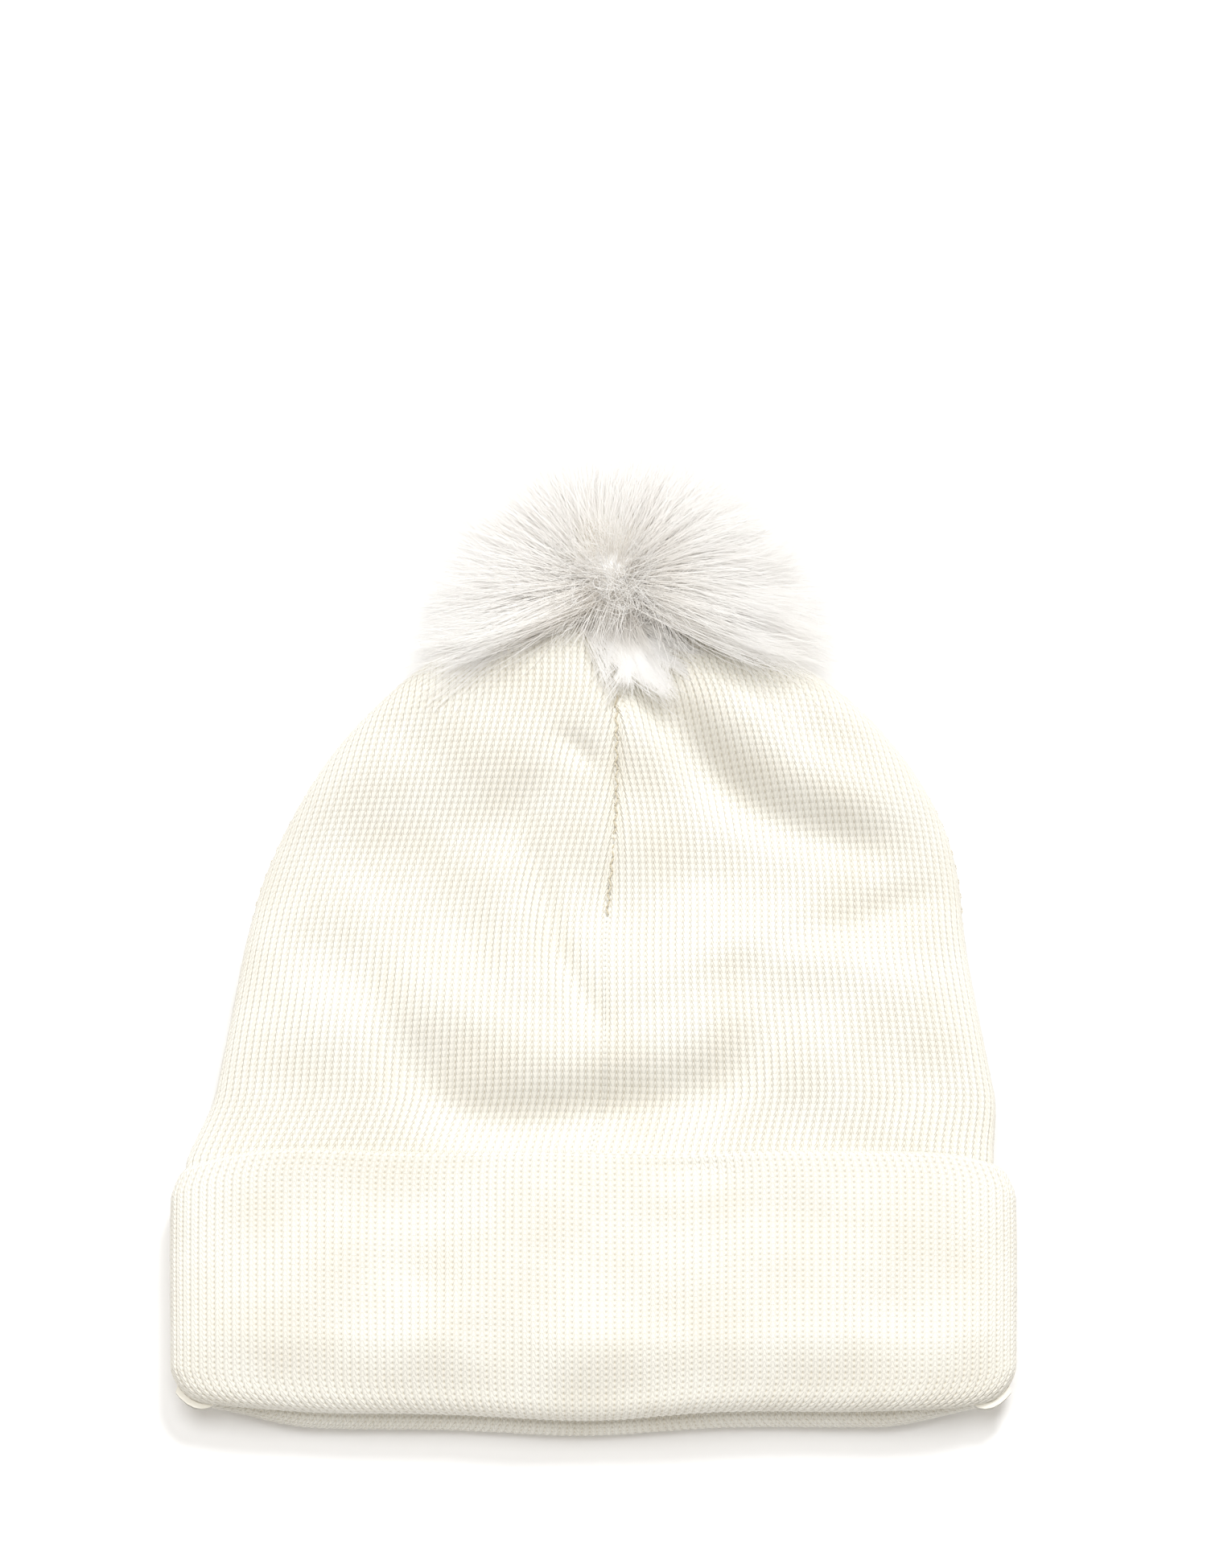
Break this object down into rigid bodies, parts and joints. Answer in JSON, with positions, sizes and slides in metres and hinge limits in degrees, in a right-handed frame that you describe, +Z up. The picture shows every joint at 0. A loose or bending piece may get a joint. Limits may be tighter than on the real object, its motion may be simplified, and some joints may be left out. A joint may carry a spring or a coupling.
{
  "type": "pom pom beanie",
  "caption": "Knitted beanie lying flat, with a double layer, a turned-up cuff, a darted crown and a long-pile fur pom on a press stud.",
  "frame": {"origin": "middle of the bottom of the whole object, on the surface it lies on", "axes": "+X across the hat's width, +Y from the hem to the pom, +Z up from the surface, out of the hat's front"},
  "size_m": [0.222, 0.255, 0.075],
  "materials": {
    "knit": "ivory fine-gauge plain knit",
    "seam_thread": "ivory sewing thread",
    "label_satin": "blank white satin tape",
    "felt": "pressed felt",
    "stud_metal": "nickel-plated pressed brass",
    "spring_steel": "drawn spring wire",
    "base_plastic": "moulded disc",
    "backing_knit": "tricot fur backing",
    "fibre_fill": "polyester fibre filling",
    "fur": "white long-pile faux fur"
  },
  "bodies": {
    "hat": {"knit_shell": "knit", "knit_lining": "knit", "cuff_outer_ply": "knit", "cuff_inner_ply": "knit", "care_label": "label_satin", "label_stitching": "seam_thread", "shell_dart_seam_front": "seam_thread", "shell_dart_seam_back": "seam_thread", "shell_dart_seam_left": "seam_thread", "shell_dart_seam_right": "seam_thread", "lining_dart_seam_front": "seam_thread", "lining_dart_seam_back": "seam_thread", "lining_dart_seam_left": "seam_thread", "lining_dart_seam_right": "seam_thread"},
    "crown_stud": {"outer_felt_washer": "felt", "snap_stud": "stud_metal", "inner_felt_washer": "felt", "stud_back_cap": "stud_metal"},
    "stud_spring": {"snap_spring": "spring_steel"},
    "pom": {"snap_socket": "stud_metal", "socket_cap": "stud_metal", "pom_base_disc": "base_plastic", "fur_backing": "backing_knit", "pom_filling": "fibre_fill", "gathering_thread": "seam_thread", "fur_pile": "fur"}
  },
  "joints": [
    {"name": "pom_tilt", "type": "hinge", "parent": "hat", "child": "crown_stud", "pos_m": [0, 0.0685, 0.028], "axis": [1, 0, 0], "range_deg": [-20, 20]},
    {"name": "pom_pull_off", "type": "slide", "parent": "crown_stud", "child": "stud_spring", "axis": [0, 1, 0], "range_m": [0, 0.03], "deforming": ["snap_spring"]},
    {"name": "pom_swivel", "type": "hinge", "parent": "stud_spring", "child": "pom", "pos_m": [0, 0.0685, 0.028], "axis": [0, 1, 0], "continuous": true}
  ]
}
